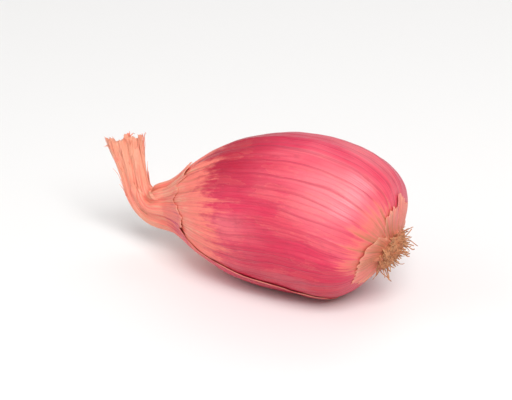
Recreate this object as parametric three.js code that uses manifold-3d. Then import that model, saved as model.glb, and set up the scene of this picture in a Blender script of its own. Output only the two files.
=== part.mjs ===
// A pink shallot lying on its belly: a plump tapering bulb in dry papery skin, a
// pinched neck, a flat dried tail folded up at the neck, and a root plate with the
// stubs of dried rootlets. It grew as one piece, so it is one solid.
//
// Millimetres, +Z up. The root end points along +X and the neck along -X. The
// origin is the centre of the small flat that the shallot rests on.

import * as THREE from "three";
import { mergeVertices } from "three/addons/utils/BufferGeometryUtils.js";
import Module from "manifold-3d";

const wasm = await Module();
wasm.setup();

// Driving dimensions
const BULB_LENGTH = 50;
const BULB_HEIGHT = 27.4;
const BULB_WIDTH = 25.9;
const NECK_HEIGHT = 6.6;
const NECK_WIDTH = 5;
const TAIL_LENGTH = 13;
const TAIL_WIDTH = 5.2;
const TAIL_TIP_WIDTH = 6.6;
const TAIL_THICKNESS = 1.7;
const TORN_EDGE = 0.35;
const ROOT_PLATE_WIDTH = 7.4;
const FLAT_DEPTH = 0.4;

// How the centreline is pitched, in degrees above the level, walking from root to tail
const ROOT_PITCH = 20;
const SHOULDER_PITCH = -10;
const NECK_PITCH = -13;
const TAIL_PITCH = 74;
const BELLY_START = 1;
const BELLY_END = 24;
const NECK_START = 30;
const FOLD_START = 47;
const FOLD_END = 55;
const TAIL_TWIST = 24;

// Relief of the skin
const RIB_COUNT = 18;
const RIB_HEIGHT = 0.14;
const PLEAT_COUNT = 9;
const PLEAT_HEIGHT = 0.42;
const SKIN_STEP = 0.4;
const COLLAR_STEP = 0.24;
const SKIN_EDGE_WIDTH = 0.9;
const TAIL_PLEAT_HEIGHT = 0.24;
const TAIL_PLEAT_PITCH = 1.7;

// Rootlets
const ROOTLET_COUNT = 26;
const ROOTLET_SIDES = 5;
const ROOTLET_SHORTEST = 0.8;
const ROOTLET_LONGEST = 2.4;
const ROOTLET_RADIUS = 0.42;
const ROOTLET_TIP_RADIUS = 0.2;
const ROOTLET_SUNK = 1;
const SEED = 20489;

// Fineness of the faceted surface
const SIDES = 72;
const RINGS = 60;
const WALK_STEP = 0.1;
const SAME_POINT = 0.0005;
const ROUNDING = 0.0001;

const WHOLE_LENGTH = BULB_LENGTH + TAIL_LENGTH;
const HALF_HEIGHT = BULB_HEIGHT / 2;
const PLATE_RADIUS = ROOT_PLATE_WIDTH / 2;

// Outline of the bulb: share of its length from the root plate, share of its half height
const BULB_OUTLINE = [
  [0.032, 0.34],
  [0.05, 0.55],
  [0.09, 0.8],
  [0.16, 0.945],
  [0.25, 0.995],
  [0.34, 1],
  [0.44, 0.985],
  [0.55, 0.925],
  [0.66, 0.8],
  [0.77, 0.59],
  [0.88, 0.36],
];

function radians(degrees) {
  return (degrees * Math.PI) / 180;
}

function rise(value, from, to) {
  return THREE.MathUtils.smoothstep(value, from, to);
}

function mix(from, to, share) {
  return THREE.MathUtils.lerp(from, to, share);
}

function nearest(value, step) {
  return Math.round(value / step) * step;
}

// The same draws every time, from 0 to 1
function seededRandom(seed) {
  let state = seed;
  return () => {
    state = (state * 48271) % 2147483647;
    return state / 2147483647;
  };
}

// The whole outline, turned round its axis before it is laid along the centreline. Its
// last point is a thin edge and not a pole: flatness brings the two faces together there.
function outline() {
  const plate = [
    [0, 0],
    [0.1, PLATE_RADIUS * 0.55],
    [0.45, PLATE_RADIUS * 0.88],
    [1.05, PLATE_RADIUS],
  ];
  const bulb = BULB_OUTLINE.map(([along, out]) => [along * BULB_LENGTH, out * HALF_HEIGHT]);
  const tail = [
    [BULB_LENGTH, NECK_HEIGHT / 2],
    [FOLD_START + 4, TAIL_WIDTH * 0.58],
    [FOLD_END + 1, TAIL_WIDTH / 2],
    [WHOLE_LENGTH - 3, mix(TAIL_WIDTH, TAIL_TIP_WIDTH, 0.55) / 2],
    [WHOLE_LENGTH, TAIL_TIP_WIDTH / 2],
  ];
  const through = [...plate, ...bulb, ...tail].map(([along, out]) => new THREE.Vector3(out, along, 0));
  const curve = new THREE.CatmullRomCurve3(through, false, "centripetal");
  const points = curve.getSpacedPoints(RINGS).map((p) => new THREE.Vector2(p.x, p.y));
  points.push(new THREE.Vector2(TAIL_TIP_WIDTH / 2, WHOLE_LENGTH + TORN_EDGE));
  return points;
}

function pitchAt(along) {
  const belly = mix(ROOT_PITCH, SHOULDER_PITCH, rise(along, BELLY_START, BELLY_END));
  const bulb = mix(belly, NECK_PITCH, rise(along, NECK_START, FOLD_START));
  return radians(mix(bulb, TAIL_PITCH, rise(along, FOLD_START, FOLD_END)));
}

// The centreline, walked in short steps from the root plate towards the tail
function walkCentreline() {
  const places = [new THREE.Vector3()];
  const ragged = 4;
  for (let along = 0; along < WHOLE_LENGTH + ragged; along += WALK_STEP) {
    const pitch = pitchAt(along + WALK_STEP / 2);
    const step = new THREE.Vector3(-Math.cos(pitch), 0, Math.sin(pitch)).multiplyScalar(WALK_STEP);
    places.push(places.at(-1).clone().add(step));
  }
  return (along) => {
    const at = Math.max(along, 0) / WALK_STEP;
    const before = Math.floor(at);
    return places[before].clone().lerp(places[before + 1], at - before);
  };
}

// Width of the section over its height: nearly round in the bulb, flat in the tail
function flatness(along) {
  const bulb = BULB_WIDTH / BULB_HEIGHT;
  const neck = NECK_WIDTH / NECK_HEIGHT;
  const tail = TAIL_THICKNESS / TAIL_WIDTH;
  const tip = (0.8 * TAIL_THICKNESS) / TAIL_TIP_WIDTH;
  const body = mix(bulb, neck, rise(along, 0.7 * BULB_LENGTH, BULB_LENGTH));
  const folded = mix(body, tail, rise(along, FOLD_START, FOLD_END));
  const thinning = Math.max(along - WHOLE_LENGTH, 0) / TORN_EDGE;
  return mix(folded, tip, rise(along, FOLD_END, WHOLE_LENGTH)) * (1 - thinning);
}

// Where the torn edge of the outer skin crosses each meridian. The skin wraps the
// neck all round and reaches far down the underside and back. Turn 0 is the top,
// a quarter turn is the back, half a turn the underside, and minus a quarter the front.
function outerSkinEdge(turn) {
  const sweep = Math.cos(turn - radians(148));
  const reach = mix(0.8, 0.17, rise(sweep, -0.2, 0.45)) * BULB_LENGTH;
  return reach + 1.3 * Math.sin(5 * turn + 0.6) + 0.8 * Math.sin(11 * turn + 2.1);
}

// The dry collar of skin that clings round the root plate
function rootCollarEdge(turn) {
  return 2.5 + 0.5 * Math.sin(3 * turn + 1) + 0.2 * Math.sin(8 * turn + 2 * Math.sin(2 * turn));
}

// How far a place lies past a torn edge, measured square to the edge
function pastEdge(edge, along, turn, radius) {
  const nearby = 0.04;
  const slope = (edge(turn + nearby) - edge(turn - nearby)) / (2 * nearby * Math.max(radius, 1));
  return (along - edge(turn)) / Math.hypot(1, slope);
}

// Height of the surface over the plain outline, in millimetres
function relief(along, turn, radius) {
  const inBulb = rise(along, 1.4, 6) * (1 - rise(along, 0.75 * BULB_LENGTH, BULB_LENGTH));
  const lobes = 0.022 * Math.cos(2 * turn + radians(35)) + 0.015 * Math.cos(3 * turn + radians(34));
  const flatSide = -0.035 * Math.exp(-(((turn - radians(95)) / 0.55) ** 2));
  const broad = radius * inBulb * (lobes + flatSide);

  const wander = 1.1 * Math.sin(turn + 0.4) + 0.5 * Math.sin(3 * turn + along * 0.08);
  const crest = (0.5 + 0.5 * Math.cos(RIB_COUNT * turn + wander)) ** 2;
  const ribs = RIB_HEIGHT * crest * inBulb;

  const pleated = rise(along, 0.62 * BULB_LENGTH, BULB_LENGTH) * (1 - rise(along, FOLD_START + 3, FOLD_END));
  const crowding = 0.9 * Math.sin(2 * turn) + 0.05 * along;
  const pleats = PLEAT_HEIGHT * pleated * Math.sin(PLEAT_COUNT * turn + crowding);

  const pastOuter = pastEdge(outerSkinEdge, along, turn, radius);
  const outerSkin = SKIN_STEP * rise(pastOuter, 0, SKIN_EDGE_WIDTH) * (1 - rise(along, FOLD_START, FOLD_END));
  const pastCollar = -pastEdge(rootCollarEdge, along, turn, radius);
  const collar = COLLAR_STEP * rise(pastCollar, 0, SKIN_EDGE_WIDTH);
  const skins = (outerSkin + collar) * rise(along, 1.2, 2);

  const knobs = 0.35 * Math.sin(7 * turn + 0.8) + 0.22 * Math.sin(12 * turn + along * 3);
  const plate = knobs * rise(along, 0.1, 0.6) * (1 - rise(along, 1.1, 1.8));
  return broad + ribs + pleats + skins + plate;
}

// The torn tip: how far the end of the tail runs on or falls short across its width
function raggedTip(across) {
  return -0.1 * across + 0.55 * Math.sin(2.1 * across + 0.6) + 0.3 * Math.sin(5.3 * across);
}

// Takes a point of the turned outline to its place on the finished shallot. Its place on
// the outline is rounded, so that points opposite each other on the torn edge meet exactly.
function place(point, centreline) {
  const radius = nearest(Math.hypot(point.x, point.z), ROUNDING);
  const turn = nearest(Math.atan2(point.x, point.z), (2 * Math.PI) / SIDES);
  const outlineAlong = nearest(point.y, ROUNDING);
  const tipShare = rise(outlineAlong, WHOLE_LENGTH - 5, WHOLE_LENGTH);
  const inTail = rise(outlineAlong, FOLD_START + 3, FOLD_END + 1);

  let across = Math.cos(turn) * radius;
  let out = Math.sin(turn) * radius * flatness(outlineAlong);
  const bare = Math.max(Math.hypot(across, out), 0.001);
  const grown = radius > 0 ? 1 + relief(outlineAlong, turn, radius) / bare : 1;
  across *= grown;
  out *= grown;
  out += TAIL_PLEAT_HEIGHT * inTail * Math.sin((2 * Math.PI * across) / TAIL_PLEAT_PITCH + 0.5);
  out += 0.5 * tipShare * Math.sin(0.9 * across);

  const along = outlineAlong + tipShare * raggedTip(across);
  const pitch = pitchAt(along);
  const up = new THREE.Vector3(Math.sin(pitch), 0, Math.cos(pitch));
  const walk = new THREE.Vector3(-Math.cos(pitch), 0, Math.sin(pitch));
  const side = new THREE.Vector3(0, 1, 0);
  const twist = radians(TAIL_TWIST) * rise(along, FOLD_START + 2, WHOLE_LENGTH);
  up.applyAxisAngle(walk, twist);
  side.applyAxisAngle(walk, twist);
  return centreline(along).addScaledVector(up, across).addScaledVector(side, out);
}

// Makes one corner of the corners that meet, and drops the faces that this leaves with no area
function welded(geometry) {
  const merged = mergeVertices(geometry, SAME_POINT);
  const kept = [];
  for (let i = 0; i < merged.index.count; i += 3) {
    const corners = [0, 1, 2].map((k) => merged.index.getX(i + k));
    if (new Set(corners).size === 3) kept.push(...corners);
  }
  merged.setIndex(kept);
  return merged;
}

function mergedPositions(geometry) {
  geometry.deleteAttribute("normal");
  geometry.deleteAttribute("uv");
  return welded(geometry);
}

function bulbGeometry(centreline) {
  const geometry = mergedPositions(new THREE.LatheGeometry(outline(), SIDES));
  const positions = geometry.attributes.position;
  const point = new THREE.Vector3();
  for (let i = 0; i < positions.count; i += 1) {
    point.fromBufferAttribute(positions, i);
    const placed = place(point, centreline);
    positions.setXYZ(i, placed.x, placed.y, placed.z);
  }
  return welded(geometry);
}

// A tapered stub that curls to one side, standing on the root plate along +Y
function rootletGeometry(length, curl) {
  const whole = length + ROOTLET_SUNK;
  const stub = new THREE.CylinderGeometry(ROOTLET_TIP_RADIUS, ROOTLET_RADIUS, whole, ROOTLET_SIDES, 3);
  stub.translate(0, whole / 2 - ROOTLET_SUNK, 0);
  const geometry = mergedPositions(stub);
  const positions = geometry.attributes.position;
  for (let i = 0; i < positions.count; i += 1) {
    const share = Math.max(positions.getY(i) / length, 0);
    positions.setX(i, positions.getX(i) + curl * share ** 2);
  }
  return geometry;
}

// Rootlets spread over the plate by the golden angle, leaning further out near its rim
function rootletGeometries() {
  const random = seededRandom(SEED);
  const growing = new THREE.Vector3(0, 1, 0);
  const outward = new THREE.Vector3(Math.cos(radians(ROOT_PITCH)), 0, -Math.sin(radians(ROOT_PITCH)));
  const goldenAngle = Math.PI * (3 - Math.sqrt(5));
  const rootlets = [];
  for (let i = 0; i < ROOTLET_COUNT; i += 1) {
    const share = Math.sqrt((i + 0.5) / ROOTLET_COUNT);
    const turn = i * goldenAngle + 0.3 * random();
    const radial = new THREE.Vector3(0, Math.cos(turn), Math.sin(turn));
    radial.applyAxisAngle(new THREE.Vector3(0, 1, 0), radians(ROOT_PITCH));
    const length = mix(ROOTLET_SHORTEST, ROOTLET_LONGEST, random() ** 1.5);
    const lean = share * mix(0.7, 1.5, random());
    const direction = outward.clone().addScaledVector(radial, lean).normalize();
    const geometry = rootletGeometry(length, mix(-0.9, 0.9, random()));
    geometry.rotateY(2 * Math.PI * random());
    geometry.applyQuaternion(new THREE.Quaternion().setFromUnitVectors(growing, direction));
    const foot = radial.multiplyScalar(share * PLATE_RADIUS * 0.86);
    geometry.translate(foot.x, foot.y, foot.z);
    rootlets.push(geometry);
  }
  return rootlets;
}

function solidOf(geometry) {
  return new wasm.Manifold(
    new wasm.Mesh({
      numProp: 3,
      vertProperties: Float32Array.from(geometry.attributes.position.array),
      triVerts: Uint32Array.from(geometry.index.array),
    }),
  );
}

function geometryOf(solid) {
  const mesh = solid.getMesh();
  const geometry = new THREE.BufferGeometry();
  geometry.setAttribute("position", new THREE.BufferAttribute(mesh.vertProperties, 3));
  geometry.setIndex(new THREE.BufferAttribute(mesh.triVerts, 1));
  return geometry;
}

// Cuts the small flat under the belly and moves its centre to the origin
function restOnFlat(solid) {
  const grown = geometryOf(solid);
  grown.computeBoundingBox();
  const floor = grown.boundingBox.min.z + FLAT_DEPTH;
  const blockSize = 2 * WHOLE_LENGTH;
  const block = new THREE.BoxGeometry(blockSize, blockSize, blockSize);
  block.translate(0, 0, floor - blockSize / 2);
  const cut = geometryOf(solid.subtract(solidOf(mergedPositions(block))));

  const flat = new THREE.Box3();
  const point = new THREE.Vector3();
  const positions = cut.attributes.position;
  for (let i = 0; i < positions.count; i += 1) {
    point.fromBufferAttribute(positions, i);
    if (Math.abs(point.z - floor) < 0.001) flat.expandByPoint(point);
  }
  const centre = flat.getCenter(new THREE.Vector3());
  cut.translate(-centre.x, -centre.y, -floor);
  return cut;
}

function shallotMesh() {
  const centreline = walkCentreline();
  let solid = solidOf(bulbGeometry(centreline));
  for (const rootlet of rootletGeometries()) solid = solid.add(solidOf(rootlet));
  const geometry = restOnFlat(solid);
  geometry.computeVertexNormals();
  const skin = new THREE.MeshStandardMaterial({ color: 0xdc4f72, roughness: 0.5, metalness: 0 });
  const mesh = new THREE.Mesh(geometry, skin);
  mesh.name = "shallot";
  return mesh;
}

const shallot = new THREE.Group();
shallot.add(shallotMesh());

export default shallot;
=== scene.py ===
"""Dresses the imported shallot: skin, torn outer skin, tail, root plate and rootlets.

Lengths are in metres, +Z is up. The root end points along +X and the neck along -X.
"""

import math
import random

import bpy
import numpy as np
from bpy.props import FloatProperty, FloatVectorProperty, IntProperty, PointerProperty
from mathutils import Matrix, Vector


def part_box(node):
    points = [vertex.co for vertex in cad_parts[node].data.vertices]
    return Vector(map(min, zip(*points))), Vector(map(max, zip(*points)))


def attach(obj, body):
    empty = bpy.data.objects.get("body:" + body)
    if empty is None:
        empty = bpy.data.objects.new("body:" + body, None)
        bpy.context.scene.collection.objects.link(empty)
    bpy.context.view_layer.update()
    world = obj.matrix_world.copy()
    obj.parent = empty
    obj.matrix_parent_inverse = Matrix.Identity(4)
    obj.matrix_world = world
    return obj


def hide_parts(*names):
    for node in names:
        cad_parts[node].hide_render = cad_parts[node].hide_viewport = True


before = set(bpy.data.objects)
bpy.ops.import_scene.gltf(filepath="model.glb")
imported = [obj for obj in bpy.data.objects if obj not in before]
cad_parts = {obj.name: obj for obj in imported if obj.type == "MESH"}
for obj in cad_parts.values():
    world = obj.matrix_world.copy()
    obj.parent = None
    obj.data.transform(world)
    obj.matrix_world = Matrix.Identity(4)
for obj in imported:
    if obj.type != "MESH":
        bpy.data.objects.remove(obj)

bl_info = {
    "name": "Pink shallot",
    "version": (1, 0, 0),
    "blender": (4, 5, 0),
    "location": "3D View > Sidebar > Shallot",
    "description": "Builds the skin, tail and root of a pink shallot around its packed solid",
    "category": "Object",
}

NODE = "shallot"
BODY = "root"
MM = 0.001
CAD_LOW, CAD_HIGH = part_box(NODE)
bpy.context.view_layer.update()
CAD_HEIGHT = CAD_HIGH.z - CAD_LOW.z
CAD_WIDTH = CAD_HIGH.y - CAD_LOW.y

# Outline of the bulb: share of its length from the root plate, share of its half height
BULB_OUTLINE = (
    (0.032, 0.34),
    (0.05, 0.55),
    (0.09, 0.8),
    (0.16, 0.945),
    (0.25, 0.995),
    (0.34, 1.0),
    (0.44, 0.985),
    (0.55, 0.925),
    (0.66, 0.8),
    (0.77, 0.59),
    (0.88, 0.36),
)

# How the centreline is pitched above the level, walking from the root plate to the tail
ROOT_PITCH = math.radians(20)
SHOULDER_PITCH = math.radians(-10)
NECK_PITCH = math.radians(-13)
TAIL_PITCH = math.radians(74)
BELLY_START = 1 * MM
BELLY_END = 24 * MM
NECK_START = 30 * MM
FOLD_START = 47 * MM
FOLD_END = 55 * MM
TAIL_TWIST = math.radians(24)
TORN_EDGE = 0.35 * MM
WALK_STEP = 0.1 * MM
SAME_POINT = 0.0001 * MM
NO_WIDTH = 0.001 * MM
SMOOTH_BELOW = math.radians(60)

# How many lines of each kind run lengthwise round the bulb
PLEAT_COUNT = 9
RIB_COUNT = 18
CREASE_COUNT = 23
VEIN_COUNT = 31
FINE_VEIN_COUNT = 89
FIBRE_COUNT = 233

# Spacing of the tail's pleats and creases, and of the dents all over the skin
TAIL_PLEAT = 1.7 * MM
TAIL_CREASE = 0.62 * MM
DENT_SIZE = 7 * MM

# Range in radians from which a rootlet's turn is drawn
ANY_TURN = (0, 6.28)

# Depths that only the materials show
SKIN_GRAIN = 0.12 * MM
CORK_GRAIN = 0.2 * MM
GLOW_DEPTH = 1.5 * MM
GLOW_COLOURS = (1.0, 0.35, 0.25)

# The studio: each light's name, place, size and power in watts, then the room and the camera
LIGHTS = (
    ("key", (0.3, -0.3, 0.5), 0.36, 4.0),
    ("fill", (-0.5, -0.35, 0.35), 0.6, 1.1),
    ("back", (-0.1, 0.5, 0.45), 0.5, 0.9),
)
ROOM_LIGHT = 0.38
FLOOR_SIZE = 6
FLOOR_DROP = 0.02 * MM
LENS_MM = 170
CLIP_START = 10 * MM


def length_prop(name, description, default):
    """A length in metres, shown in the scene's own unit"""
    return FloatProperty(
        name=name,
        description=description,
        default=default,
        min=0.0,
        unit="LENGTH",
        subtype="DISTANCE",
        precision=5,
    )


def angle_prop(name, description, default):
    """An angle, given in degrees"""
    return FloatProperty(
        name=name,
        description=description,
        default=math.radians(default),
        subtype="ANGLE",
    )


def colour_prop(name, description, default):
    """A colour in linear light"""
    return FloatVectorProperty(
        name=name,
        description=description,
        default=default,
        min=0.0,
        max=1.0,
        size=3,
        subtype="COLOR",
    )


class ShallotForm(bpy.types.PropertyGroup):
    """Main sizes of the bulb, neck and tail"""

    bulb_length: length_prop("Bulb length", "Root plate to the waist of the neck", 50 * MM)
    bulb_height: length_prop("Bulb height", "Fattest section, upright", CAD_HEIGHT - 1.1 * MM)
    bulb_width: length_prop("Bulb width", "Fattest section, level", CAD_WIDTH + 0.33 * MM)
    neck_height: length_prop("Neck height", "Waist of the neck, upright", 6.6 * MM)
    neck_width: length_prop("Neck width", "Waist of the neck, level", 5 * MM)
    tail_length: length_prop("Tail length", "Waist of the neck to the torn tip", 13 * MM)
    tail_width: length_prop("Tail width", "Dried tail at its narrowest", 5.2 * MM)
    tip_width: length_prop("Tip width", "Dried tail at its torn tip", 6.6 * MM)
    tail_thickness: length_prop("Tail thickness", "Dried tail through its flat side", 1.7 * MM)
    plate_width: length_prop("Root plate width", "Across the root plate", 7.4 * MM)


class ShallotRelief(bpy.types.PropertyGroup):
    """Heights of the skin's relief"""

    rib_height: length_prop("Rib height", "Broad lengthwise ribs of the bulb", 0.14 * MM)
    vein_height: length_prop("Vein height", "Narrow lengthwise veins of the skin", 0.05 * MM)
    pleat_height: length_prop("Pleat height", "Pleats drawn into the neck", 0.42 * MM)
    crease_height: length_prop("Crease height", "Finer creases between the pleats", 0.13 * MM)
    tail_pleat_height: length_prop("Tail pleat height", "Lengthwise pleats of the tail", 0.24 * MM)
    dent_height: length_prop("Dent height", "Shallow dents all over the skin", 0.34 * MM)
    skin_lift: length_prop("Skin lift", "How far the outer skin stands off the bulb", 0.14 * MM)
    skin_curl: length_prop("Skin curl", "How much further its torn edge curls up", 0.5 * MM)
    skin_thickness: length_prop("Skin thickness", "Thickness of the outer skin", 0.1 * MM)


class ShallotRoots(bpy.types.PropertyGroup):
    """The tuft of dried rootlets"""

    count: IntProperty(name="Rootlets", description="How many dried rootlets", default=84, min=1)
    seed: IntProperty(name="Seed", description="Seed of the random draws", default=20489)
    shortest: length_prop("Shortest", "Shortest rootlet", 0.8 * MM)
    longest: length_prop("Longest", "Longest rootlet", 2.9 * MM)
    radius: length_prop("Radius", "Radius of a rootlet at its foot", 0.23 * MM)


class ShallotColours(bpy.types.PropertyGroup):
    """Colours of the skin, in linear light"""

    pink: colour_prop("Pink", "Most of the bulb", (0.69, 0.03, 0.09))
    # Pale streaks and patches of the skin, and the colour of the painted highlight
    pale_pink_and_highlight: colour_prop("Pale pink", "Light streaks and patches", (0.9, 0.22, 0.25))
    # Painted shade colour, for the top of the shoulder, the underside and a band across the near
    # side
    shade_crimson: colour_prop("Crimson", "Deep part of the shoulder", (0.43, 0.003, 0.03))
    magenta: colour_prop("Magenta", "Veins and dark streaks", (0.36, 0.012, 0.05))
    peach: colour_prop("Peach", "Dry skin of the neck", (0.92, 0.21, 0.17))
    straw: colour_prop("Straw", "Dried tail", (0.9, 0.4, 0.27))
    tan: colour_prop("Tan", "Dry skin round the root plate", (0.5, 0.17, 0.08))
    root: colour_prop("Root", "Dried rootlets", (0.6, 0.33, 0.17))
    brown: colour_prop("Brown", "Root plate and creases", (0.2, 0.085, 0.04))


class ShallotStage(bpy.types.PropertyGroup):
    """Where the camera stands, and the floor"""

    azimuth: angle_prop("Azimuth", "How far the camera stands round to the root's side", 30)
    elevation: angle_prop("Elevation", "How far the camera stands above the level", 25)
    distance: length_prop("Distance", "Camera to the shallot", 0.42)
    floor: colour_prop("Floor", "Plain pale floor", (0.86, 0.855, 0.85))


def rise(value, start, end):
    """Smooth step from 0 at start to 1 at end"""
    share = np.clip((value - start) / (end - start), 0, 1)
    return share * share * (3 - 2 * share)


def swell(wave):
    """A wave that runs from -1 to 1, brought to run from 0 to 1"""
    return 0.5 + 0.5 * wave


def mix(first, second, share):
    """The first value at share 0, the second at share 1"""
    return first + (second - first) * share


def between(t, start, end, first, second):
    """Straight line that passes the first point at start and the second at end"""
    return mix(first, second, (t - start) / (end - start))


def smooth_curve(through, steps):
    """Points evenly spaced along a smooth curve through the given ones"""
    points = np.array(through, float)
    points = np.vstack([2 * points[0] - points[1], points, 2 * points[-1] - points[-2]])
    knots = np.concatenate([[0], np.cumsum(np.linalg.norm(np.diff(points, axis=0), axis=1) ** 0.5)])
    fine = []
    for i in range(len(points) - 3):
        p = points[i : i + 4]
        k = knots[i : i + 4]
        t = np.linspace(k[1], k[2], 60, endpoint=False)[:, None]
        first = [between(t, k[j], k[j + 1], p[j], p[j + 1]) for j in range(3)]
        second = [between(t, k[j], k[j + 2], first[j], first[j + 1]) for j in range(2)]
        fine.append(between(t, k[1], k[2], *second))
    fine = np.vstack(fine + [points[-2:-1]])
    walked = np.concatenate([[0], np.cumsum(np.linalg.norm(np.diff(fine, axis=0), axis=1))])
    even = np.linspace(0, walked[-1], steps)
    return np.stack([np.interp(even, walked, fine[:, k]) for k in range(2)], axis=1)


class Form:
    """The shallot's shape: an outline of radii laid along a bent centreline"""

    def __init__(self, scene):
        self.size = scene.shallot_form
        self.relief_size = scene.shallot_relief
        self.whole = self.size.bulb_length + self.size.tail_length
        self.half = self.size.bulb_height / 2
        self.plate = self.size.plate_width / 2
        self.walk_along = np.arange(0, self.whole + 12 * MM, WALK_STEP)
        pitch = self.pitch(self.walk_along + WALK_STEP / 2)
        steps = np.stack([-np.cos(pitch), 0 * pitch, np.sin(pitch)], axis=1) * WALK_STEP
        self.walk = np.vstack([[0, 0, 0], np.cumsum(steps, axis=0)[:-1]])
        self.shift = np.zeros(3)
        self.shift = self.offset_to_solid()

    def pitch(self, along):
        """How steeply the centreline climbs there, walking towards the tail"""
        belly = mix(ROOT_PITCH, SHOULDER_PITCH, rise(along, BELLY_START, BELLY_END))
        bulb = mix(belly, NECK_PITCH, rise(along, NECK_START, FOLD_START))
        return mix(bulb, TAIL_PITCH, rise(along, FOLD_START, FOLD_END))

    def outline(self, steps):
        """Radii and places along the centreline, from the root plate to the torn tip"""
        s = self.size
        plate = [
            (0, 0),
            (0.1 * MM, 0.55 * self.plate),
            (0.45 * MM, 0.88 * self.plate),
            (1.05 * MM, self.plate),
        ]
        bulb = [(along * s.bulb_length, out * self.half) for along, out in BULB_OUTLINE]
        tail = [
            (s.bulb_length, s.neck_height / 2),
            (FOLD_START + 4 * MM, 0.58 * s.tail_width),
            (FOLD_END + 1 * MM, s.tail_width / 2),
            (self.whole - 3 * MM, mix(s.tail_width, s.tip_width, 0.55) / 2),
            (self.whole, s.tip_width / 2),
        ]
        points = smooth_curve(plate + bulb + tail, steps)
        return np.vstack([points, [self.whole + TORN_EDGE, s.tip_width / 2]])

    def flatness(self, along, open_tip=False):
        """Width of the section over its height, closing at the torn tip unless it is left open"""
        s = self.size
        length = s.bulb_length
        neck = s.neck_width / s.neck_height
        body = mix(s.bulb_width / s.bulb_height, neck, rise(along, 0.7 * length, length))
        folded = mix(body, s.tail_thickness / s.tail_width, rise(along, FOLD_START, FOLD_END))
        tip = 0.8 * s.tail_thickness / s.tip_width
        thinning = 0 if open_tip else np.clip((along - self.whole) / TORN_EDGE, 0, 1)
        return mix(folded, tip, rise(along, FOLD_END, self.whole)) * (1 - thinning)

    def in_bulb(self, along):
        """1 in the bulb, fading to 0 at the root plate and at the neck"""
        length = self.size.bulb_length
        return rise(along, 1.4 * MM, 6 * MM) * (1 - rise(along, 0.75 * length, length))

    def relief(self, along, turn, radius):
        """Height of the surface over the plain outline"""
        r = self.relief_size
        length = self.size.bulb_length
        in_bulb = self.in_bulb(along)
        lobes = 0.022 * np.cos(2 * turn + math.radians(35))
        lobes = lobes + 0.015 * np.cos(3 * turn + math.radians(34))
        flat_side = -0.035 * np.exp(-(((turn - math.radians(95)) / 0.55) ** 2))
        broad = radius * in_bulb * (lobes + flat_side)

        wander = 1.1 * np.sin(turn + 0.4) + 0.5 * np.sin(3 * turn + 80 * along)
        ribs = r.rib_height * swell(np.cos(RIB_COUNT * turn + wander)) ** 2 * in_bulb
        sway = 1.6 * np.sin(2 * turn + 1.1) + 0.9 * np.sin(5 * turn + 40 * along)
        sway = sway + 0.3 * np.sin(150 * along + 3 * turn)
        skin = rise(along, 2 * MM, 7 * MM) * (1 - rise(along, FOLD_START, FOLD_END))
        veins = r.vein_height * swell(np.cos(VEIN_COUNT * turn + sway)) ** 5 * skin

        fold = 1 - rise(along, FOLD_START + 3 * MM, FOLD_END)
        pleated = rise(along, 0.62 * length, length) * fold
        crowding = 0.9 * np.sin(2 * turn) + 50 * along
        pleats = r.pleat_height * pleated * np.sin(PLEAT_COUNT * turn + crowding)
        creased = rise(along, 0.5 * length, 0.9 * length) * fold
        bent = 1.5 * np.sin(3 * turn + 1)
        creases = r.crease_height * creased * np.sin(CREASE_COUNT * turn + bent + 120 * along)

        knobs = (0.35 * np.sin(7 * turn + 0.8) + 0.22 * np.sin(12 * turn + 3000 * along)) * MM
        plate = knobs * rise(along, 0.1 * MM, 0.6 * MM) * (1 - rise(along, 1.1 * MM, 1.8 * MM))
        return broad + ribs + veins + pleats + creases + plate

    def ragged_tip(self, across):
        """How far the torn tip runs on or falls short across the tail's width"""
        mm = across / MM
        broad = -0.1 * mm + 0.4 * np.sin(2.1 * mm + 0.6)
        fine = 0.2 * np.sin(5.3 * mm) + 0.1 * np.sin(13 * mm)
        return (broad + fine) * MM

    def place(self, along, turn, radius, lift=0.0, open_tip=False):
        """Points on the skin, or lifted off it, as an array of places"""
        tip = rise(along, self.whole - 5 * MM, self.whole)
        in_tail = rise(along, FOLD_START + 3 * MM, FOLD_END + 1 * MM)
        across = np.cos(turn) * radius
        out = np.sin(turn) * radius * self.flatness(along, open_tip)
        bare = np.maximum(np.hypot(across, out), NO_WIDTH)
        has_size = radius > NO_WIDTH
        grown = np.where(has_size, 1 + (self.relief(along, turn, radius) + lift) / bare, 1)
        across = across * grown
        out = out * grown
        pleats = np.sin(2 * math.pi * across / TAIL_PLEAT + 0.5)
        pleats = pleats + 0.35 * np.sin(2 * math.pi * across / TAIL_CREASE + along * 300)
        out = out + self.relief_size.tail_pleat_height * in_tail * pleats
        out = out + 0.5 * MM * tip * np.sin(0.9 * across / MM)

        along = along + tip * self.ragged_tip(across)
        pitch = self.pitch(along)
        twist = TAIL_TWIST * rise(along, FOLD_START + 2 * MM, self.whole)
        flat_up = np.stack([np.sin(pitch), 0 * pitch, np.cos(pitch)], axis=-1)
        side = np.array([0.0, 1.0, 0.0])
        turned = twist[..., None]
        up = flat_up * np.cos(turned) + side * np.sin(turned)
        sideways = side * np.cos(turned) - flat_up * np.sin(turned)
        parts = [np.interp(along, self.walk_along, self.walk[:, k]) for k in range(3)]
        line = np.stack(parts, axis=-1)
        return line + up * across[..., None] + sideways * out[..., None] + self.shift

    def radius_at(self, along):
        """Half height of the plain outline there"""
        points = self.outline(400)
        return np.interp(along, points[:, 0], points[:, 1])

    def offset_to_solid(self):
        """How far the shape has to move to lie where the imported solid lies"""
        points = self.outline(160)
        turn = np.linspace(0, 2 * math.pi, 120)
        along, turns = np.meshgrid(points[:, 0], turn, indexing="ij")
        radius = np.repeat(points[:, 1:], len(turn), axis=1)
        places = self.place(along, turns, radius).reshape(-1, 3)
        low, high = places.min(axis=0), places.max(axis=0)
        return np.array([CAD_LOW.x - low[0], CAD_LOW.y - low[1], CAD_HIGH.z - high[2]])


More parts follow.
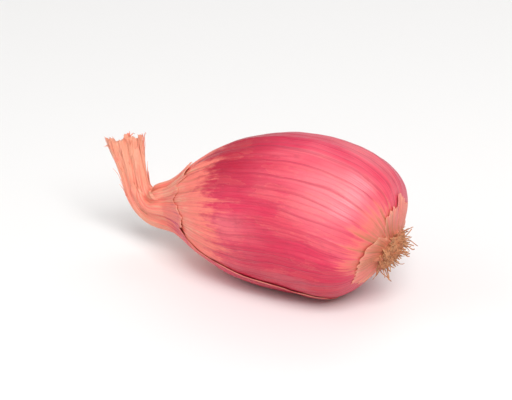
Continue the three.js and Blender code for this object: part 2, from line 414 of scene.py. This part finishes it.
def outer_skin_edge(form, turn):
    """Where the torn edge of the outer skin crosses each meridian"""
    sweep = np.cos(turn - math.radians(148))
    reach = mix(0.8, 0.17, rise(sweep, -0.2, 0.45)) * form.size.bulb_length
    broad = 1.3 * np.sin(5 * turn + 0.6) + 0.8 * np.sin(11 * turn + 2.1)
    tongues = 1.9 * swell(np.sin(7 * turn + 2.3 * np.sin(2 * turn + 1))) ** 5
    fine = 0.28 * np.sin(29 * turn + 3 * np.sin(3 * turn))
    fine = fine + 0.16 * np.sin(61 * turn + 4 * np.sin(2 * turn))
    return reach + (broad - tongues + fine) * MM


def root_collar_edge(turn):
    """Where the dry collar round the root plate ends on each meridian"""
    broad = 2.5 + 0.5 * np.sin(3 * turn + 1) + 0.2 * np.sin(8 * turn + 2 * np.sin(2 * turn))
    torn = swell(np.sin(5 * turn + 2 * np.sin(3 * turn + 1)))
    fine = 0.3 * torn * np.sin(13 * turn + 5 * np.sin(2 * turn))
    fine = fine + 0.1 * np.sin(37 * turn + 7 * np.sin(3 * turn))
    return (broad + fine) * MM


def deselect_all():
    """Leaves edit mode and selects nothing"""
    if bpy.context.object and bpy.context.object.mode != "OBJECT":
        bpy.ops.object.mode_set(mode="OBJECT")
    bpy.ops.object.select_all(action="DESELECT")


def select_only(piece):
    """Makes the piece the only selected one, and the active one"""
    deselect_all()
    piece.select_set(True)
    bpy.context.view_layer.objects.active = piece


def added(name):
    """The primitive just added, under the piece's name"""
    piece = bpy.context.object
    piece.name = name
    piece.data.name = name
    return piece


def coordinates(mesh):
    """The places of a mesh's vertices, as an array"""
    places = np.zeros(len(mesh.vertices) * 3)
    mesh.vertices.foreach_get("co", places)
    return places.reshape(-1, 3)


def move_vertices(mesh, places):
    """Puts a mesh's vertices at the given places"""
    mesh.vertices.foreach_set("co", np.asarray(places, float).ravel())
    mesh.update()


def keep_attribute(mesh, name, values):
    """Stores a number or a vector for each vertex, for the materials to read"""
    values = np.asarray(values, float)
    kind = "FLOAT" if values.ndim == 1 else "FLOAT_VECTOR"
    attribute = mesh.attributes.new(name, kind, "POINT")
    attribute.data.foreach_set("value" if values.ndim == 1 else "vector", values.ravel())


def weld(piece):
    """Joins the vertices that meet and turns the faces outwards"""
    select_only(piece)
    bpy.ops.object.mode_set(mode="EDIT")
    bpy.ops.mesh.select_all(action="SELECT")
    bpy.ops.mesh.remove_doubles(threshold=SAME_POINT)
    bpy.ops.mesh.normals_make_consistent(inside=False)
    bpy.ops.object.mode_set(mode="OBJECT")


def apply_modifiers(piece):
    """Makes the piece's modifiers part of its mesh"""
    select_only(piece)
    for modifier in list(piece.modifiers):
        bpy.ops.object.modifier_apply(modifier=modifier.name)


def grid_piece(name, columns, rows):
    """A flat grid to wrap round the form, and its vertices' shares across and along"""
    deselect_all()
    bpy.ops.mesh.primitive_grid_add(x_subdivisions=columns, y_subdivisions=rows, size=1)
    piece = added(name)
    places = coordinates(piece.data)
    return piece, places[:, 0] + 0.5, places[:, 1] + 0.5


def dent(piece, size, height, name):
    """Shallow uneven dents, pressed in by a cloud texture"""
    cloud = bpy.data.textures.new(name, "CLOUDS")
    cloud.noise_scale = size
    cloud.noise_depth = 2
    displace = piece.modifiers.new("dents", "DISPLACE")
    displace.texture = cloud
    displace.texture_coords = "LOCAL"
    displace.strength = height
    displace.mid_level = 0.5
    apply_modifiers(piece)


def rest_on_floor(piece, height):
    """Flattens the belly where it lies on the floor"""
    places = coordinates(piece.data)
    places[:, 2] = np.maximum(places[:, 2], height)
    move_vertices(piece.data, places)


def thicken(piece, thickness):
    """Gives a sheet its wall, on the inner side"""
    solid = piece.modifiers.new("paper", "SOLIDIFY")
    solid.thickness = thickness
    solid.offset = -1
    apply_modifiers(piece)


def joined(pieces, name):
    """The pieces made into one, under the given name"""
    deselect_all()
    for piece in pieces:
        piece.select_set(True)
    bpy.context.view_layer.objects.active = pieces[0]
    bpy.ops.object.join()
    return added(name)


def finish_piece(piece, material):
    """Smooth shading, material, and the calls that tie the piece to the solid"""
    piece.data.materials.clear()
    piece.data.materials.append(material)
    select_only(piece)
    bpy.ops.object.shade_smooth_by_angle(angle=SMOOTH_BELOW)
    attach(piece, BODY)
    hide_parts(NODE)


class Shader:
    """Adds nodes to a material and links them"""

    def __init__(self, name, scene):
        self.material = bpy.data.materials.new(name)
        self.material.use_nodes = True
        self.tree = self.material.node_tree
        self.surface = self.tree.nodes["Principled BSDF"]
        self.colours = scene.shallot_colours

    def set(self, node, socket, value):
        """Links the socket to another, or gives it a number or colour"""
        target = node.inputs[socket]
        if isinstance(value, bpy.types.NodeSocket):
            self.tree.links.new(value, target)
        elif hasattr(value, "__len__") and target.type == "RGBA":
            target.default_value = (*value, 1.0)
        else:
            target.default_value = value

    def add(self, kind, inputs, output=0, **settings):
        """A new node with its inputs and settings, as one of its outputs"""
        node = self.tree.nodes.new(kind)
        for key, value in settings.items():
            setattr(node, key, value)
        for socket, value in inputs.items():
            self.set(node, socket, value)
        return node.outputs[output]

    def math(self, operation, first, second=0.0):
        """A sum of one or two values"""
        return self.add("ShaderNodeMath", {0: first, 1: second}, operation=operation)

    def plus(self, first, second):
        return self.math("ADD", first, second)

    def minus(self, first, second):
        return self.math("SUBTRACT", first, second)

    def times(self, first, second):
        return self.math("MULTIPLY", first, second)

    def swing(self, pattern, amount):
        """How far a pattern lies from its middle, times an amount"""
        return self.times(self.minus(pattern, 0.5), amount)

    def blend(self, first, second, share):
        """The first colour at share 0, the second at share 1"""
        inputs = {0: share, 6: first, 7: second}
        return self.add("ShaderNodeMix", inputs, output=2, data_type="RGBA")

    def between(self, value, low, high, to_low=0.0, to_high=1.0):
        """Maps a value from one range to another, eased at both ends"""
        inputs = {"Value": value, "From Min": low, "From Max": high}
        inputs.update({"To Min": to_low, "To Max": to_high})
        return self.add("ShaderNodeMapRange", inputs, interpolation_type="SMOOTHSTEP")

    def attribute(self, name, output="Fac"):
        """One of the values that the mesh keeps for its materials"""
        node = self.tree.nodes.new("ShaderNodeAttribute")
        node.attribute_name = name
        return node.outputs[output]

    def object_place(self):
        """The place on the piece, in metres"""
        return self.add("ShaderNodeTexCoord", {}, output=3)

    def stretched(self, vector, scale):
        """A place with each of its directions scaled"""
        return self.add("ShaderNodeVectorMath", {0: vector, 1: scale}, operation="MULTIPLY")

    def noise(self, vector, scale, detail=3.0, roughness=0.55):
        """A cloudy pattern, mostly near its middle of 0.5"""
        inputs = {"Vector": vector, "Scale": scale, "Detail": detail, "Roughness": roughness}
        return self.add("ShaderNodeTexNoise", inputs)

    def lines(self, around, count, sway, sharpness):
        """Lengthwise lines that keep an even count all round, swayed by a noise"""
        parts = self.tree.nodes.new("ShaderNodeSeparateXYZ")
        self.set(parts, 0, around)
        turn = self.math("ARCTAN2", parts.outputs[1], parts.outputs[0])
        wander = self.noise(self.stretched(around, (1.6, 1.6, 2.4)), 1.3, 2.0)
        swayed = self.times(wander, sway)
        wave = self.math("SINE", self.plus(self.times(turn, float(count)), swayed))
        return self.between(wave, sharpness, 1.0)

    def bump(self, height, strength, distance):
        """Fine relief that only the light sees"""
        inputs = {"Height": height, "Strength": strength, "Distance": distance}
        return self.add("ShaderNodeBump", inputs)

    def finish(self, colour, roughness, normal, specular, coat=0.0, glow=0.0):
        """Gives the surface its colour, gloss and relief"""
        self.set(self.surface, "Base Color", colour)
        self.set(self.surface, "Roughness", roughness)
        self.set(self.surface, "Normal", normal)
        self.set(self.surface, "Specular IOR Level", specular)
        self.set(self.surface, "Coat Weight", coat)
        self.set(self.surface, "Coat Roughness", 0.3)
        self.set(self.surface, "Subsurface Weight", glow)
        self.set(self.surface, "Subsurface Radius", GLOW_COLOURS)
        self.set(self.surface, "Subsurface Scale", GLOW_DEPTH)
        return self.material


class Skin:
    """Patterns that run lengthwise over the skin, shared by its colour, gloss and relief"""

    def __init__(self, s):
        around = s.attribute("around", "Vector")
        self.dry = s.attribute("dry")
        # Painted shade on the shoulder, the underside and a band across the near side
        self.painted_shade = s.attribute("painted_shade")
        # Painted highlight, partly lighter skin, high on the near side towards the root
        self.pale = s.attribute("pale")
        self.scorched = s.attribute("scorched")
        # Painted shade in the inner corner of the neck's fold
        self.creased = s.attribute("creased")
        # Painted highlight on the outer corner of the neck's fold
        self.fold_highlight = s.attribute("fold_highlight")
        self.edge = s.attribute("edge")
        self.streaks = s.noise(s.stretched(around, (10.0, 10.0, 1.9)), 1.0, 6.0, 0.62)
        self.fringe = s.noise(s.stretched(around, (24.0, 24.0, 3.2)), 1.0, 5.0, 0.6)
        self.patches = s.noise(s.stretched(around, (1.8, 1.8, 3.0)), 1.0, 3.0, 0.55)
        self.mottle = s.noise(s.stretched(around, (14.0, 14.0, 26.0)), 1.0, 4.0, 0.6)
        self.spots = s.noise(s.object_place(), 700.0, 4.0, 0.6)
        self.grain = s.noise(s.object_place(), 2600.0, 3.0, 0.6)
        flaked = s.noise(s.stretched(around, (5.5, 5.5, 6.0)), 1.0, 5.0, 0.58)
        self.film = s.between(flaked, 0.54, 0.556)
        self.film_rim = s.times(self.film, s.between(flaked, 0.572, 0.556))
        broken = s.between(self.patches, 0.3, 0.65, 0.45, 1.0)
        self.veins = s.times(s.lines(around, VEIN_COUNT, 9.0, 0.8), broken)
        fading = s.between(self.streaks, 0.3, 0.7, 0.3, 1.0)
        self.fine_veins = s.times(s.lines(around, FINE_VEIN_COUNT, 16.0, 0.45), fading)
        self.fibres = s.lines(around, FIBRE_COUNT, 25.0, -0.6)

    def colour(self, s):
        """Pink with fine dark veins, straw-coloured where it is dry, tan and brown at the root;
        painted shade on the shoulder, underside and fold, painted highlights high on the near side
        and on the fold's outer corner
        """
        c = s.colours
        pink = s.blend(c.pink, c.pale_pink_and_highlight, s.between(self.patches, 0.46, 0.72, 0.0, 0.5))
        pink = s.blend(pink, c.pale_pink_and_highlight, s.between(self.streaks, 0.5, 0.82, 0.0, 0.45))
        pink = s.blend(pink, c.magenta, s.between(self.streaks, 0.47, 0.24, 0.0, 0.5))
        pink = s.blend(pink, c.magenta, s.between(self.mottle, 0.5, 0.2, 0.0, 0.4))
        # Painted shade: crimson over the shoulder, the underside and a band across the near side
        pink = s.blend(pink, c.shade_crimson, s.times(self.painted_shade, 0.85))
        # Painted highlight, partly lighter pink skin
        pink = s.blend(pink, c.pale_pink_and_highlight, s.times(self.pale, 0.75))
        pink = s.blend(pink, c.peach, s.times(self.film, 0.09))
        pink = s.blend(pink, c.straw, s.times(self.film_rim, 0.06))
        pink = s.blend(pink, c.magenta, s.times(self.veins, 0.36))
        pink = s.blend(pink, c.magenta, s.times(self.fine_veins, 0.3))

        uneven = self.dryness(s)
        straw = s.blend(c.peach, c.straw, s.between(uneven, 0.85, 1.5))
        straw = s.blend(straw, c.tan, s.between(self.streaks, 0.5, 0.22, 0.0, 0.45))
        straw = s.blend(straw, c.tan, s.times(self.veins, 0.4))
        straw = s.blend(straw, c.brown, s.times(self.fine_veins, 0.15))
        colour = s.blend(pink, straw, s.between(uneven, 0.2, 0.8))
        # Painted shade: tan in the inner corner of the fold
        colour = s.blend(colour, c.tan, s.times(self.creased, 0.6))
        # Painted highlight: straw on the outer corner of the fold
        colour = s.blend(colour, c.straw, s.times(self.fold_highlight, 0.7))

        burnt = self.scorched
        for pattern, amount in ((self.streaks, 1.3), (self.fringe, 1.5), (self.spots, 0.4)):
            burnt = s.plus(burnt, s.swing(pattern, amount))
        colour = s.blend(colour, c.peach, s.between(burnt, 0.35, 0.8, 0.0, 0.65))
        colour = s.blend(colour, c.tan, s.between(burnt, 0.55, 1.2, 0.0, 0.85))
        colour = s.blend(colour, c.brown, s.between(burnt, 1.1, 1.7, 0.0, 0.8))
        rim = s.times(self.edge, s.between(self.streaks, 0.35, 0.65, 0.15, 0.95))
        return s.blend(colour, c.straw, rim)

    def dryness(self, s):
        """How dry the skin is, with a streaky, uneven border"""
        sway = s.plus(s.minus(self.streaks, 0.5), s.swing(self.mottle, 0.5))
        return s.plus(self.dry, s.times(sway, 1.9))

    def gloss(self, s):
        """Roughness: satin where it is fresh, duller where it is dry or filmed over"""
        fresh = s.between(self.dryness(s), 0.1, 0.9, 0.34, 0.54)
        return s.plus(fresh, s.times(self.film, 0.09))

    def normal(self, s, strength):
        """Fine lengthwise grain of papery skin, with the film standing a little proud"""
        height = s.times(self.veins, 0.9)
        for pattern, share in (
            (self.fine_veins, 0.6),
            (self.streaks, 0.9),
            (self.fibres, 0.22),
            (self.grain, 0.4),
            (self.film, 0.2),
        ):
            height = s.plus(height, s.times(pattern, share))
        return s.bump(height, strength, SKIN_GRAIN)


def skin_material(scene, name, relief, coat):
    """Papery skin of the bulb, or of the layers that lie over it"""
    s = Shader(name, scene)
    skin = Skin(s)
    look = (skin.colour(s), skin.gloss(s), skin.normal(s, relief))
    return s.finish(*look, specular=0.34, coat=coat, glow=0.1)


def shred_material(scene):
    """Brittle pale shreds of skin along the tail"""
    s = Shader("brittle_tail_shred", scene)
    c = s.colours
    blotches = s.noise(s.object_place(), 350.0, 4.0, 0.6)
    fibres = s.noise(s.stretched(s.attribute("around", "Vector"), (26.0, 26.0, 4.0)), 1.0, 4.0, 0.6)
    colour = s.blend(c.straw, c.peach, s.between(blotches, 0.35, 0.65, 0.0, 0.6))
    colour = s.blend(colour, c.tan, s.between(fibres, 0.52, 0.28, 0.0, 0.85))
    colour = s.blend(colour, c.straw, s.times(s.attribute("edge"), 0.7))
    normal = s.bump(s.plus(fibres, blotches), 0.5, CORK_GRAIN)
    gloss = s.between(blotches, 0.3, 0.7, 0.5, 0.66)
    return s.finish(colour, gloss, normal, specular=0.45)


def root_material(scene, name, pale):
    """Dry corky root: tan to brown with darker pits"""
    s = Shader(name, scene)
    c = s.colours
    place = s.object_place()
    blotches = s.noise(place, 700.0, 4.0, 0.6)
    pits = s.noise(place, 2400.0, 3.0, 0.6)
    colour = s.blend(c.tan, c.root, s.between(blotches, 0.3, 0.65, 0.0, pale))
    colour = s.blend(colour, c.brown, s.between(pits, 0.55, 0.3, 0.0, 0.75))
    normal = s.bump(s.plus(blotches, pits), 0.6, CORK_GRAIN)
    gloss = s.between(pits, 0.3, 0.7, 0.75, 0.9)
    return s.finish(colour, gloss, normal, specular=0.35)


def soft_spot(form, along, turn, centre, reach):
    """1 at a share of the bulb's length and an angle round it, fading to 0 past its reach"""
    length = form.size.bulb_length
    off_along = (along - centre[0] * length) / (reach[0] * length)
    off_round = (1 - np.cos(turn - math.radians(centre[1]))) / reach[1]
    return np.exp(-(off_along**2) - off_round**2)


def skin_attributes(form, mesh, along, turn, dry, edge):
    """What the skin materials read: place round the bulb, where it is dry or torn, and where shade
    and highlights are painted
    """
    length = form.size.bulb_length
    keep_attribute(mesh, "around", np.stack([np.cos(turn), np.sin(turn), along / length], axis=1))
    keep_attribute(mesh, "dry", dry)
    root_side = rise(np.cos(turn + math.radians(62)), 0.5, 1)
    keep_attribute(mesh, "scorched", 1.2 * (1 - rise(along, 0, (4.5 + 5.5 * root_side) * MM)))
    # Painted shade: the top of the shoulder, the underside of the bulb and a band across the near
    # side turn crimson
    shoulder = rise(np.cos(turn + math.radians(8)), 0.5, 0.95)
    shoulder = shoulder * rise(along, 0.3 * length, 0.55 * length)
    shoulder = shoulder * (1 - rise(along, 0.74 * length, 0.9 * length))
    belly = 0.75 * form.in_bulb(along) * rise(-np.cos(turn), -0.1, 0.9)
    belly = belly * (1 - rise(along, 0.45 * length, 0.7 * length))
    shade_band = 0.25 * soft_spot(form, along, turn, (0.36, -78), (0.14, 0.16))
    keep_attribute(mesh, "painted_shade", np.maximum(shoulder, belly) + shade_band)
    # Painted highlight, partly lighter skin: a pale patch high on the near side towards the root
    keep_attribute(mesh, "pale", soft_spot(form, along, turn, (0.2, -46), (0.1, 0.12)))
    # Painted shade in the inner corner of the neck's fold, painted highlight on its outer corner
    fold = np.exp(-(((along - FOLD_START - 2.5 * MM) / (2.2 * MM)) ** 2))
    keep_attribute(mesh, "creased", fold * rise(np.cos(turn), 0.1, 1))
    keep_attribute(mesh, "fold_highlight", fold * rise(-np.cos(turn), 0.1, 0.8))
    keep_attribute(mesh, "edge", edge)


def dryness(form, along, turn):
    """0 on the bulb, 1 at the neck, 1.5 at the tail's tip; it starts sooner low on the near side"""
    length = form.size.bulb_length
    reach = 4 * MM * swell(np.cos(turn + math.radians(100))) ** 2
    neck = 1.1 * rise(along + reach, 0.52 * length, 0.87 * length)
    return neck + 0.5 * rise(along, length, form.whole)


class SHALLOT_OT_bulb(bpy.types.Operator):
    """Wraps a fine grid round the form for the bulb, neck and tail in one closed skin"""

    bl_idname = "shallot.bulb"
    bl_label = "Bulb, neck and tail"
    columns = 320
    rows = 278

    def execute(self, context):
        form = Form(context.scene)
        piece, across, up = grid_piece("bulb_skin", self.columns, self.rows)
        outline = form.outline(self.rows)
        steps = np.linspace(0, 1, len(outline))
        along = np.interp(up, steps, outline[:, 0])
        radius = np.interp(up, steps, outline[:, 1])
        turn = 2 * math.pi * across
        past = along - outer_skin_edge(form, turn)
        covered = rise(past, 0.5 * MM, 2 * MM) * (1 - rise(along, FOLD_START - 5 * MM, FOLD_START))
        tucked = -0.06 * MM * covered
        move_vertices(piece.data, form.place(along, turn, radius, tucked))
        skin_attributes(form, piece.data, along, turn, dryness(form, along, turn), 0 * along)
        weld(piece)
        dent(piece, DENT_SIZE, form.relief_size.dent_height, "skin_dents")
        rest_on_floor(piece, 0.02 * MM)
        finish_piece(piece, skin_material(context.scene, "pink_skin", 0.45, 0.05))
        return {"FINISHED"}


class SHALLOT_OT_outer_skin(bpy.types.Operator):
    """Wraps a thin torn skin round the neck, underside and back, lifted a little off the bulb"""

    bl_idname = "shallot.outer_skin"
    bl_label = "Torn outer skin"
    columns = 420
    rows = 84

    def execute(self, context):
        form = Form(context.scene)
        relief = form.relief_size
        piece, across, up = grid_piece("outer_skin", self.columns, self.rows)
        turn = 2 * math.pi * across
        edge = outer_skin_edge(form, turn)
        end = FOLD_START + 1.5 * MM
        along = mix(edge, end, up**1.5)
        past = along - edge
        loose = 0.12 + 0.88 * swell(np.sin(3 * turn + 0.4) * np.sin(7 * turn + 1.1)) ** 2
        curl = relief.skin_curl * loose * np.exp(-past / (1.2 * MM))
        sink = rise(along, end - 9 * MM, end)
        ripple = 0.05 * MM * np.sin(14 * turn + 300 * along) * np.sin(500 * along + 5 * turn)
        lift = (relief.skin_lift + curl + ripple) * (1 - sink) - 0.12 * MM * sink
        move_vertices(piece.data, form.place(along, turn, form.radius_at(along), lift))
        length = form.size.bulb_length
        on_body = 1 - rise(along, 0.5 * length, 0.8 * length)
        fresh = rise(np.cos(turn + math.radians(125)), 0.3, 0.95)
        fresh = fresh * (1 - rise(along, 0.82 * length, 0.95 * length))
        dry = dryness(form, along, turn) - 0.6 * fresh
        dry = dry + on_body * (0.3 + 0.75 * np.exp(-past / (1.8 * MM)))
        skin_attributes(form, piece.data, along, turn, dry, np.exp(-past / (0.3 * MM)))
        weld(piece)
        dent(piece, DENT_SIZE, relief.dent_height, "outer_dents")
        rest_on_floor(piece, 0.0)
        thicken(piece, relief.skin_thickness)
        finish_piece(piece, skin_material(context.scene, "dry_outer_skin", 0.5, 0.04))
        return {"FINISHED"}


class SHALLOT_OT_root_collar(bpy.types.Operator):
    """Lays a brittle torn collar round the root plate, its tongues curled off the bulb"""

    bl_idname = "shallot.root_collar"
    bl_label = "Torn root collar"
    columns = 360
    rows = 30

    def execute(self, context):
        form = Form(context.scene)
        relief = form.relief_size
        piece, across, up = grid_piece("root_collar", self.columns, self.rows)
        turn = 2 * math.pi * across
        edge = root_collar_edge(turn)
        start = 0.75 * MM
        along = mix(start, edge, up)
        before = edge - along
        loose = swell(np.sin(2 * turn + 1.9 * np.sin(3 * turn + 2.2))) ** 3
        curl = 1.2 * relief.skin_curl * (0.1 + loose) * np.exp(-before / (0.5 * MM))
        ripple = 0.07 * MM * np.sin(11 * turn) * np.sin(1500 * along + 4 * turn)
        settled = rise(along, start, start + 1.2 * MM)
        lift = mix(-0.1 * MM, 0.17 * MM + curl + ripple, settled)
        move_vertices(piece.data, form.place(along, turn, form.radius_at(along), lift))
        dry = 0.45 + 0.4 * np.sin(2 * turn + 0.5) ** 2
        skin_attributes(form, piece.data, along, turn, dry, np.exp(-before / (0.25 * MM)))
        weld(piece)
        dent(piece, DENT_SIZE, relief.dent_height, "collar_dents")
        thicken(piece, 0.8 * relief.skin_thickness)
        rest_on_floor(piece, 0.0)
        finish_piece(piece, skin_material(context.scene, "dry_root_collar", 0.5, 0.04))
        return {"FINISHED"}


class SHALLOT_OT_tail_shreds(bpy.types.Operator):
    """Lays narrow frayed strips along the tail, some of them past its torn tip"""

    bl_idname = "shallot.tail_shreds"
    bl_label = "Frayed shreds of the tail"
    count = 34
    steps = 14

    def execute(self, context):
        form = Form(context.scene)
        draw = random.Random(context.scene.shallot_roots.seed + 1)
        strips = [self.strip(form, draw, i) for i in range(self.count)]
        piece = joined(strips, "tail_shreds")
        weld(piece)
        thicken(piece, 0.6 * form.relief_size.skin_thickness)
        finish_piece(piece, shred_material(context.scene))
        return {"FINISHED"}

    def strip(self, form, draw, i):
        """One strip: it follows the tail's surface, then stands off it and narrows to a point"""
        strip, across, up = grid_piece("shred", 3, self.steps)
        at_tip = i % 3 > 0
        end = form.whole + draw.uniform(-0.6, 1.0) * MM if at_tip else draw.uniform(50, 60) * MM
        length = draw.uniform(3, 7) * MM
        width = draw.uniform(0.35, 1.0) * MM
        middle = 2 * math.pi * (i + draw.uniform(0.1, 0.9)) / self.count
        along = end - length * (1 - up)
        radius = form.radius_at(np.minimum(along, form.whole))
        taper = np.minimum(1, 0.25 + 3 * up) * (1 - up**3) + 0.04
        turn = middle + (across - 0.5) * taper * width / radius + 0.25 * np.sin(3 * up + i)
        lift = -0.06 * MM + 0.12 * MM * rise(up, 0, 0.3) + draw.uniform(0.15, 0.9) * MM * up**3
        move_vertices(strip.data, form.place(along, turn, radius, lift, open_tip=True))
        skin_attributes(form, strip.data, along, turn, dryness(form, along, turn), up**6)
        return strip


def root_frame(form):
    """Centre of the root plate, the way it faces, and two directions across it"""
    centre = Vector(form.place(np.array([0.0]), np.array([0.0]), np.array([0.0]))[0])
    outward = Vector((math.cos(ROOT_PITCH), 0, -math.sin(ROOT_PITCH)))
    side = Vector((0, 1, 0))
    return centre, outward, side, outward.cross(side)


class SHALLOT_OT_root_plate(bpy.types.Operator):
    """A flattened ball with a corky, knobbly face for the root plate"""

    bl_idname = "shallot.root_plate"
    bl_label = "Root plate"

    def execute(self, context):
        form = Form(context.scene)
        centre, outward, _, _ = root_frame(form)
        deselect_all()
        bpy.ops.mesh.primitive_ico_sphere_add(subdivisions=6, radius=0.96 * form.plate)
        piece = added("root_plate")
        turn_to = Vector((0, 0, 1)).rotation_difference(outward).to_matrix().to_4x4()
        squeeze = Matrix.Diagonal((1, 1, 0.3, 1))
        piece.data.transform(Matrix.Translation(centre - outward * 0.55 * MM) @ turn_to @ squeeze)
        dent(piece, 1.1 * MM, 0.7 * MM, "plate_knobs")
        dent(piece, 0.35 * MM, 0.28 * MM, "plate_cork")
        finish_piece(piece, root_material(context.scene, "corky_root_plate", 0.5))
        return {"FINISHED"}


class SHALLOT_OT_rootlets(bpy.types.Operator):
    """Copies one tapered stub over the root plate, each bent and turned its own way"""

    bl_idname = "shallot.rootlets"
    bl_label = "Dried rootlets"
    sides = 7
    rings = 9

    def execute(self, context):
        form = Form(context.scene)
        roots = context.scene.shallot_roots
        draw = random.Random(roots.seed)
        centre, outward, side, across = root_frame(form)
        deselect_all()
        bpy.ops.mesh.primitive_cone_add(vertices=self.sides, radius1=1, radius2=0.38, depth=1)
        stub = added("rootlet_stub")
        self.ring_stub(stub)
        shape = coordinates(stub.data)
        golden = math.pi * (3 - math.sqrt(5))
        copies = []
        for i in range(roots.count):
            share = math.sqrt((i + 0.5) / roots.count)
            turn = i * golden + draw.uniform(-0.2, 0.2)
            radial = side * math.cos(turn) + across * math.sin(turn)
            direction = (outward + radial * share * draw.uniform(0.7, 1.7)).normalized()
            length = mix(roots.shortest, roots.longest, draw.random() ** 1.5)
            radius = roots.radius * draw.uniform(0.55, 1.1)
            sunk = (0.7 + 0.9 * share * share) * MM
            foot = centre + radial * share * form.plate * 0.9 - outward * sunk
            length = length + 0.8 * MM
            copies.append(self.bent_copy(stub, shape, foot, direction, length, radius, draw))
        bpy.data.objects.remove(stub)
        piece = joined(copies, "rootlets")
        finish_piece(piece, root_material(context.scene, "dried_rootlet", 0.95))
        return {"FINISHED"}

    def ring_stub(self, stub):
        """Cuts the stub into rings by splitting its long edges"""
        select_only(stub)
        bpy.ops.object.mode_set(mode="EDIT")
        bpy.ops.mesh.select_all(action="DESELECT")
        bpy.ops.object.mode_set(mode="OBJECT")
        for edge in stub.data.edges:
            ends = [stub.data.vertices[v].co.z for v in edge.vertices]
            edge.select = abs(ends[0] - ends[1]) > 0.5
        bpy.ops.object.mode_set(mode="EDIT")
        bpy.ops.mesh.select_mode(type="EDGE")
        bpy.ops.mesh.subdivide(number_cuts=self.rings)
        bpy.ops.object.mode_set(mode="OBJECT")

    def bent_copy(self, stub, shape, foot, direction, length, radius, draw):
        """A copy of the stub with its own bend, standing on its foot"""
        copy = stub.copy()
        copy.data = stub.data.copy()
        bpy.context.collection.objects.link(copy)
        share = shape[:, 2] + 0.5
        bend = draw.uniform(-0.5, 0.5)
        curl = draw.uniform(-0.25, 0.25)
        phase = draw.uniform(*ANY_TURN)
        knots = 1 + 0.22 * np.sin(9 * share + phase)
        level = shape[:, :2] * (radius * knots)[:, None]
        level[:, 0] += length * (bend * share**2 + curl * np.sin(4.5 * share + phase) * share)
        level[:, 1] += length * curl * np.sin(5.5 * share) * share
        places = np.column_stack([level, share * length])
        spin = Matrix.Rotation(draw.uniform(*ANY_TURN), 3, "Z")
        turn = Vector((0, 0, 1)).rotation_difference(direction).to_matrix() @ spin
        move_vertices(copy.data, places @ np.array(turn).T + np.array(foot))
        return copy


class SHALLOT_OT_stage(bpy.types.Operator):
    """Plain pale floor, soft studio lights and the camera"""

    bl_idname = "shallot.stage"
    bl_label = "Floor, lights and camera"

    def execute(self, context):
        scene = context.scene
        stage = scene.shallot_stage
        deselect_all()
        bpy.ops.mesh.primitive_plane_add(size=FLOOR_SIZE, location=(0, 0, -FLOOR_DROP))
        floor = added("floor")
        paint = bpy.data.materials.new("pale_floor")
        paint.use_nodes = True
        surface = paint.node_tree.nodes["Principled BSDF"]
        surface.inputs["Base Color"].default_value = (*stage.floor, 1)
        surface.inputs["Roughness"].default_value = 0.8
        floor.data.materials.append(paint)

        world = bpy.data.worlds.new("soft_room")
        world.use_nodes = True
        backdrop = world.node_tree.nodes["Background"]
        backdrop.inputs["Color"].default_value = (1, 0.99, 0.98, 1)
        backdrop.inputs["Strength"].default_value = ROOM_LIGHT
        scene.world = world
        for light in LIGHTS:
            self.add_light(*light)
        self.add_camera(scene, stage)
        scene.view_settings.view_transform = "Standard"
        return {"FINISHED"}

    def aim(self, thing, target):
        """Turns a light or the camera towards a place"""
        towards = target - thing.location
        thing.rotation_euler = towards.to_track_quat("-Z", "Y").to_euler()

    def add_light(self, name, place, size, power):
        """A square soft light, aimed at the shallot"""
        deselect_all()
        bpy.ops.object.light_add(type="AREA", location=place)
        light = bpy.context.object
        light.name = name
        light.data.size = size
        light.data.energy = power
        self.aim(light, self.middle())

    def middle(self):
        """Middle of the shallot"""
        return (CAD_LOW + CAD_HIGH) / 2

    def add_camera(self, scene, stage):
        """The camera at the photograph's viewing angle"""
        level = math.cos(stage.elevation)
        side, back = math.sin(stage.azimuth) * level, -math.cos(stage.azimuth) * level
        away = Vector((side, back, math.sin(stage.elevation)))
        deselect_all()
        bpy.ops.object.camera_add(location=self.middle() + away * stage.distance)
        camera = bpy.context.object
        camera.name = "camera"
        camera.data.lens = LENS_MM
        camera.data.clip_start = CLIP_START
        self.aim(camera, self.middle())
        scene.camera = camera


OPERATORS = (
    SHALLOT_OT_bulb,
    SHALLOT_OT_outer_skin,
    SHALLOT_OT_tail_shreds,
    SHALLOT_OT_root_collar,
    SHALLOT_OT_root_plate,
    SHALLOT_OT_rootlets,
    SHALLOT_OT_stage,
)


class SHALLOT_PT_build(bpy.types.Panel):
    """Lists the shallot's pieces and its settings"""

    bl_label = "Pink shallot"
    bl_idname = "SHALLOT_PT_build"
    bl_space_type = "VIEW_3D"
    bl_region_type = "UI"
    bl_category = "Shallot"

    def draw(self, context):
        for group in GROUPS:
            box = self.layout.box()
            for name in GROUPS[group].__annotations__:
                box.prop(getattr(context.scene, group), name)
        for operator in OPERATORS:
            self.layout.operator(operator.bl_idname)


GROUPS = {
    "shallot_form": ShallotForm,
    "shallot_relief": ShallotRelief,
    "shallot_roots": ShallotRoots,
    "shallot_colours": ShallotColours,
    "shallot_stage": ShallotStage,
}


def register():
    for group in GROUPS.values():
        bpy.utils.register_class(group)
    for name, group in GROUPS.items():
        setattr(bpy.types.Scene, name, PointerProperty(type=group))
    for operator in OPERATORS:
        bpy.utils.register_class(operator)
    bpy.utils.register_class(SHALLOT_PT_build)


def unregister():
    bpy.utils.unregister_class(SHALLOT_PT_build)
    for operator in reversed(OPERATORS):
        bpy.utils.unregister_class(operator)
    for name in GROUPS:
        delattr(bpy.types.Scene, name)
    for group in GROUPS.values():
        bpy.utils.unregister_class(group)


def main():
    register()
    bpy.ops.shallot.bulb()
    bpy.ops.shallot.outer_skin()
    bpy.ops.shallot.tail_shreds()
    bpy.ops.shallot.root_collar()
    bpy.ops.shallot.root_plate()
    bpy.ops.shallot.rootlets()
    bpy.ops.shallot.stage()


if __name__ == "__main__":
    main()
